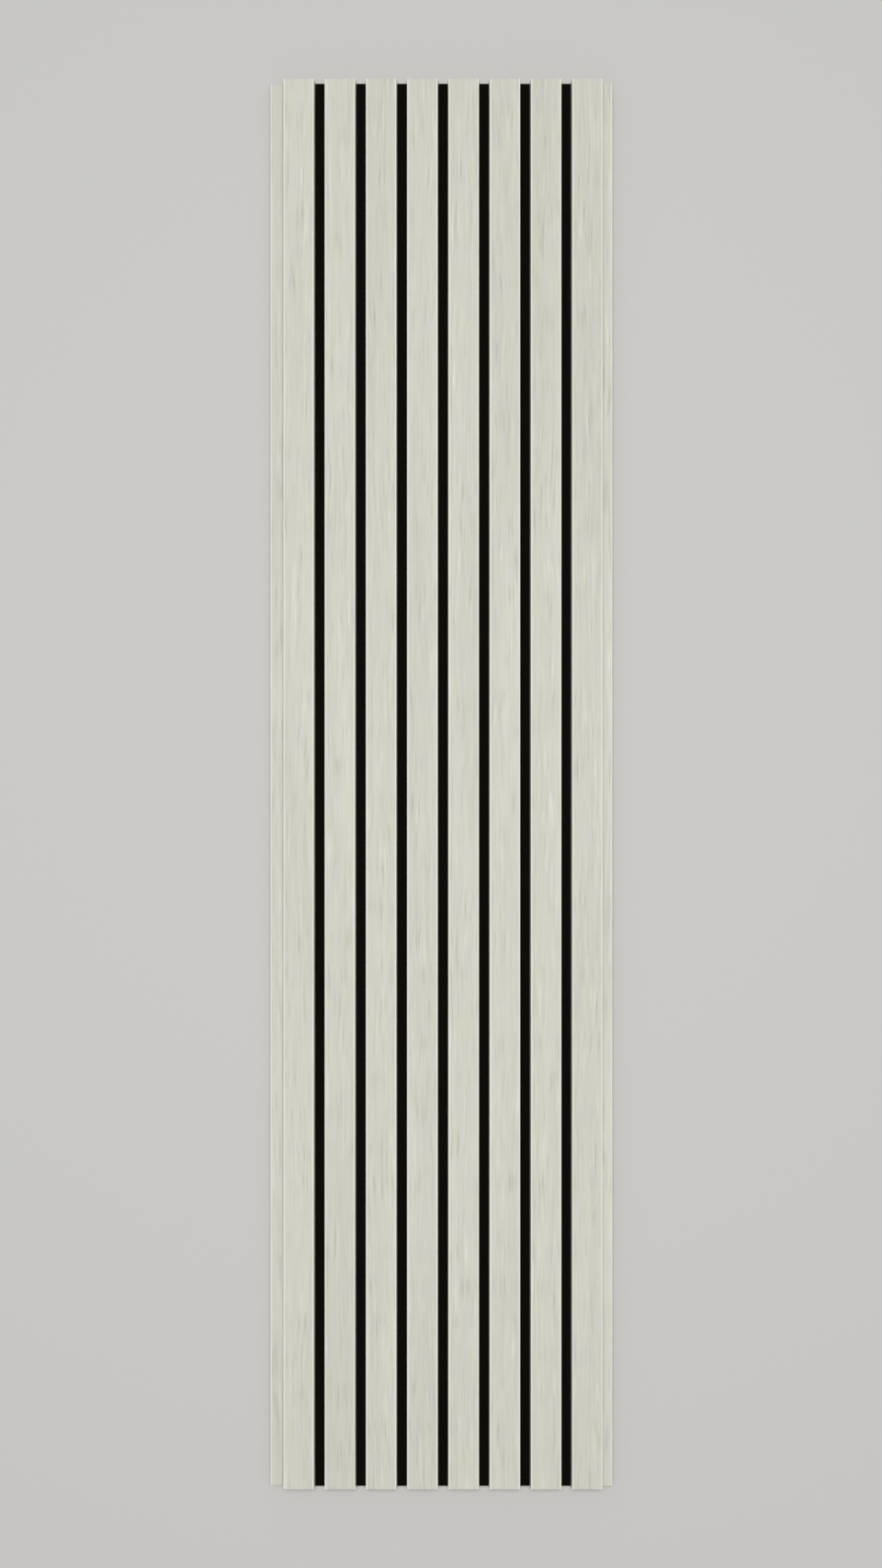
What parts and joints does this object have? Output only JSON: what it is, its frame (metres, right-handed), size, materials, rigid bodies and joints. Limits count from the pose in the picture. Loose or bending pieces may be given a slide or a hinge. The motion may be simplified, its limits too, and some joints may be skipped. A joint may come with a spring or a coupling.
{
  "type": "slatted wall panel",
  "caption": "Long flat wall panel with rounded, slightly tapered slats and black grooves, and a tongue and a slot on its long edges to join the next panel.",
  "frame": {"origin": "middle of the panel's outline, on the plane of its flat back", "axes": "+X across the slats from the tongue to the slot, +Y along the slats, +Z out of the slatted face"},
  "size_m": [0.2982, 1.22, 0.021],
  "materials": {
    "wood_print_foil": "matt foil with a pale washed wood print on fibreboard, groove floors lacquered black"
  },
  "bodies": {
    "root": {"slatted_panel": "wood_print_foil"}
  },
  "joints": []
}
